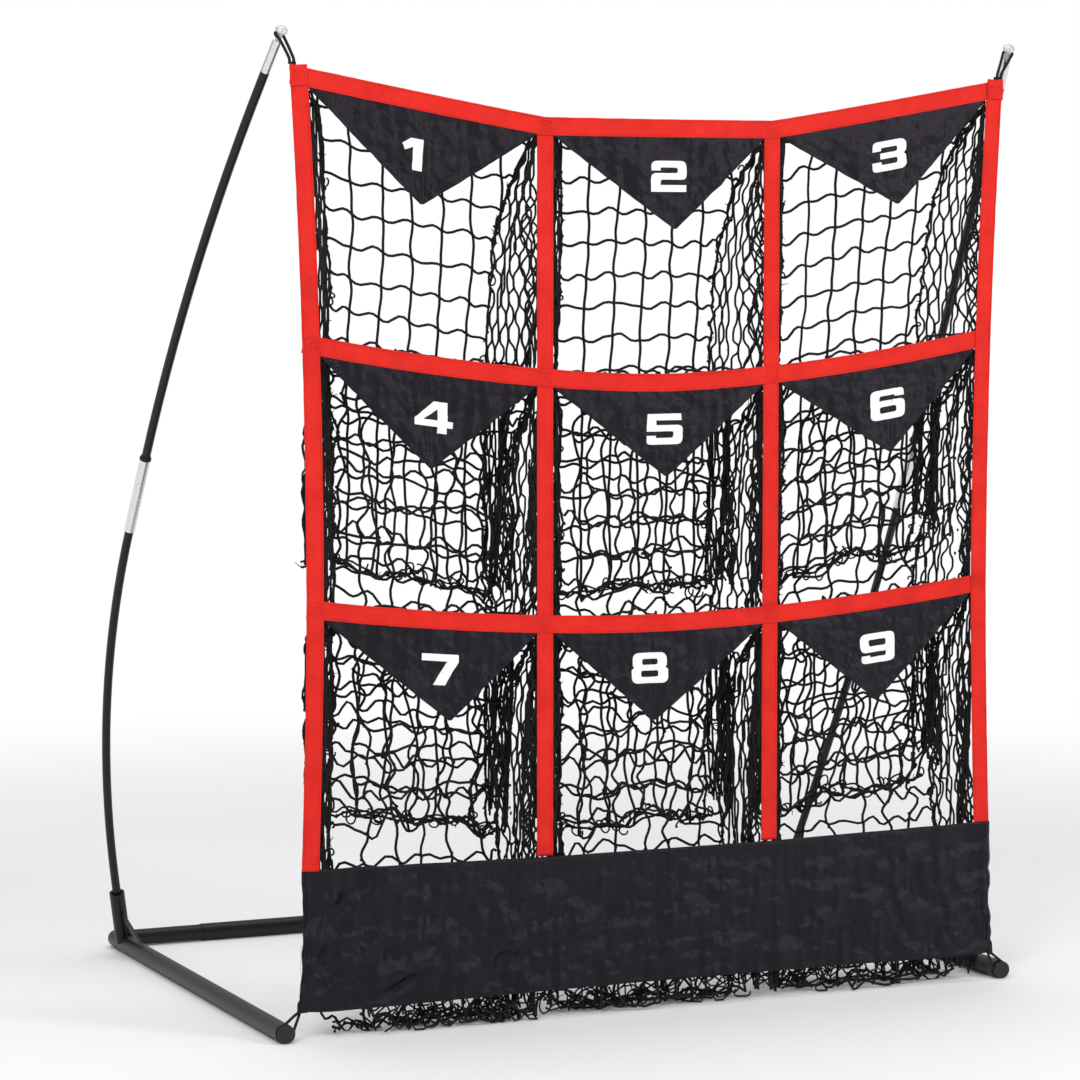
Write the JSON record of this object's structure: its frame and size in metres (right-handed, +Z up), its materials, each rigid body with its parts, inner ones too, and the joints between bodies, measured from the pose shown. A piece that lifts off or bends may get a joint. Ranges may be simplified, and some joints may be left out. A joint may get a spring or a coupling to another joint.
{
  "type": "pitching target net",
  "caption": "Free-standing pitching target: a U-shaped tube base with two bent poles holding a webbing panel of ball cells, each with a numbered flag and a net pocket, over a skirt.",
  "frame": {"origin": "on the ground, in the middle of the footprint", "axes": "+Z up, +X to the right seen from the pitcher's side, +Y away from the pitcher, towards the rear bar"},
  "size_m": [1.2834, 0.7871, 1.3691],
  "materials": {
    "arm_paint": "satin dark grey powder coat",
    "bar_paint": "satin black powder coat",
    "cap_plastic": "fine moulded texture",
    "bush_plastic": "smooth moulded",
    "pole_fibreglass": "smooth black fibreglass, semi-gloss",
    "ferrule_steel": "drawn bright steel with faint lengthwise lines",
    "knob_plastic": "smooth pale silver moulding",
    "tape_webbing": "flat woven polyester webbing, stitched",
    "skirt_nylon": "black nylon with a slight sheen",
    "flag_nylon": "black nylon with a slight sheen",
    "net_cord": "knotless twisted netting cord",
    "elastic_cord": "braided elastic cord"
  },
  "bodies": {
    "net_and_rear_bar": {"rear_crossbar": "bar_paint", "top_tape": "tape_webbing", "upper_tape": "tape_webbing", "lower_tape": "tape_webbing", "left_side_tape": "tape_webbing", "right_side_tape": "tape_webbing", "left_inner_tape": "tape_webbing", "right_inner_tape": "tape_webbing", "left_corner_patch": "tape_webbing", "right_corner_patch": "tape_webbing", "skirt": "skirt_nylon", "pocket_1": "net_cord", "pocket_2": "net_cord", "pocket_3": "net_cord", "pocket_4": "net_cord", "pocket_5": "net_cord", "pocket_6": "net_cord", "pocket_7": "net_cord", "pocket_8": "net_cord", "pocket_9": "net_cord", "left_top_loop": "elastic_cord", "right_top_loop": "elastic_cord", "left_bottom_loop": "elastic_cord", "right_bottom_loop": "elastic_cord"},
    "left_base": {"left_rear_stub": "bar_paint", "left_base_arm": "arm_paint", "left_rear_plug": "arm_paint", "left_front_cap": "cap_plastic", "left_pole_socket": "bar_paint", "left_socket_bush": "bush_plastic", "left_socket_gusset": "bar_paint"},
    "left_lower": {"left_lower_pole": "pole_fibreglass", "left_ferrule": "ferrule_steel"},
    "left_upper": {"left_upper_pole": "pole_fibreglass", "left_pole_collar": "bush_plastic", "left_tip_sleeve": "ferrule_steel", "left_tip_knob": "knob_plastic"},
    "right_base": {"right_rear_stub": "bar_paint", "right_base_arm": "arm_paint", "right_rear_plug": "arm_paint", "right_front_cap": "cap_plastic", "right_pole_socket": "bar_paint", "right_socket_bush": "bush_plastic", "right_socket_gusset": "bar_paint"},
    "right_lower": {"right_lower_pole": "pole_fibreglass", "right_ferrule": "ferrule_steel"},
    "right_upper": {"right_upper_pole": "pole_fibreglass", "right_pole_collar": "bush_plastic", "right_tip_sleeve": "ferrule_steel", "right_tip_knob": "knob_plastic"},
    "flag_1": {"flag_1": "flag_nylon"},
    "flag_2": {"flag_2": "flag_nylon"},
    "flag_3": {"flag_3": "flag_nylon"},
    "flag_4": {"flag_4": "flag_nylon"},
    "flag_5": {"flag_5": "flag_nylon"},
    "flag_6": {"flag_6": "flag_nylon"},
    "flag_7": {"flag_7": "flag_nylon"},
    "flag_8": {"flag_8": "flag_nylon"},
    "flag_9": {"flag_9": "flag_nylon"}
  },
  "joints": [
    {"name": "left_arm_slide", "type": "slide", "parent": "net_and_rear_bar", "child": "left_base", "axis": [-1, 0, 0], "range_m": [0, 0.085], "deforming": ["left_bottom_loop"]},
    {"name": "left_lower_pole_slide", "type": "slide", "parent": "left_base", "child": "left_lower", "axis": [-0.1971, -0.2734, 0.9415], "range_m": [0, 0.058]},
    {"name": "left_upper_pole_slide", "type": "slide", "parent": "left_lower", "child": "left_upper", "axis": [0.0422, -0.5017, 0.864], "range_m": [0, 0.058], "deforming": ["left_top_loop"]},
    {"name": "right_arm_slide", "type": "slide", "parent": "net_and_rear_bar", "child": "right_base", "axis": [1, 0, 0], "range_m": [0, 0.085], "deforming": ["right_bottom_loop"]},
    {"name": "right_lower_pole_slide", "type": "slide", "parent": "right_base", "child": "right_lower", "axis": [0.1971, -0.2734, 0.9415], "range_m": [0, 0.058]},
    {"name": "right_upper_pole_slide", "type": "slide", "parent": "right_lower", "child": "right_upper", "axis": [-0.0422, -0.5017, 0.864], "range_m": [0, 0.058], "deforming": ["right_top_loop"]},
    {"name": "flag_1_swing", "type": "hinge", "parent": "net_and_rear_bar", "child": "flag_1", "pos_m": [-0.34925, -0.3851, 1.25614], "axis": [0.9855, 0, -0.1697], "range_deg": [-80, 38], "stiffness_Nm_per_rad": 0.002},
    {"name": "flag_2_swing", "type": "hinge", "parent": "net_and_rear_bar", "child": "flag_2", "pos_m": [0, -0.3851, 1.2268], "axis": [1, 0, 0], "range_deg": [-80, 38], "stiffness_Nm_per_rad": 0.002},
    {"name": "flag_3_swing", "type": "hinge", "parent": "net_and_rear_bar", "child": "flag_3", "pos_m": [0.34925, -0.3851, 1.25614], "axis": [0.9855, 0, 0.1697], "range_deg": [-80, 38], "stiffness_Nm_per_rad": 0.002},
    {"name": "flag_4_swing", "type": "hinge", "parent": "net_and_rear_bar", "child": "flag_4", "pos_m": [-0.34695, -0.3851, 0.90239], "axis": [0.9901, 0, -0.1401], "range_deg": [-80, 38], "stiffness_Nm_per_rad": 0.002},
    {"name": "flag_5_swing", "type": "hinge", "parent": "net_and_rear_bar", "child": "flag_5", "pos_m": [0, -0.3851, 0.8733], "axis": [1, 0, 0], "range_deg": [-80, 38], "stiffness_Nm_per_rad": 0.002},
    {"name": "flag_6_swing", "type": "hinge", "parent": "net_and_rear_bar", "child": "flag_6", "pos_m": [0.34695, -0.3851, 0.90239], "axis": [0.9901, 0, 0.1401], "range_deg": [-80, 38], "stiffness_Nm_per_rad": 0.002},
    {"name": "flag_7_swing", "type": "hinge", "parent": "net_and_rear_bar", "child": "flag_7", "pos_m": [-0.34508, -0.3851, 0.55443], "axis": [0.9954, 0, -0.0963], "range_deg": [-80, 38], "stiffness_Nm_per_rad": 0.002},
    {"name": "flag_8_swing", "type": "hinge", "parent": "net_and_rear_bar", "child": "flag_8", "pos_m": [0, -0.3851, 0.5363], "axis": [1, 0, 0], "range_deg": [-80, 38], "stiffness_Nm_per_rad": 0.002},
    {"name": "flag_9_swing", "type": "hinge", "parent": "net_and_rear_bar", "child": "flag_9", "pos_m": [0.34508, -0.3851, 0.55443], "axis": [0.9954, 0, 0.0963], "range_deg": [-80, 38], "stiffness_Nm_per_rad": 0.002}
  ]
}
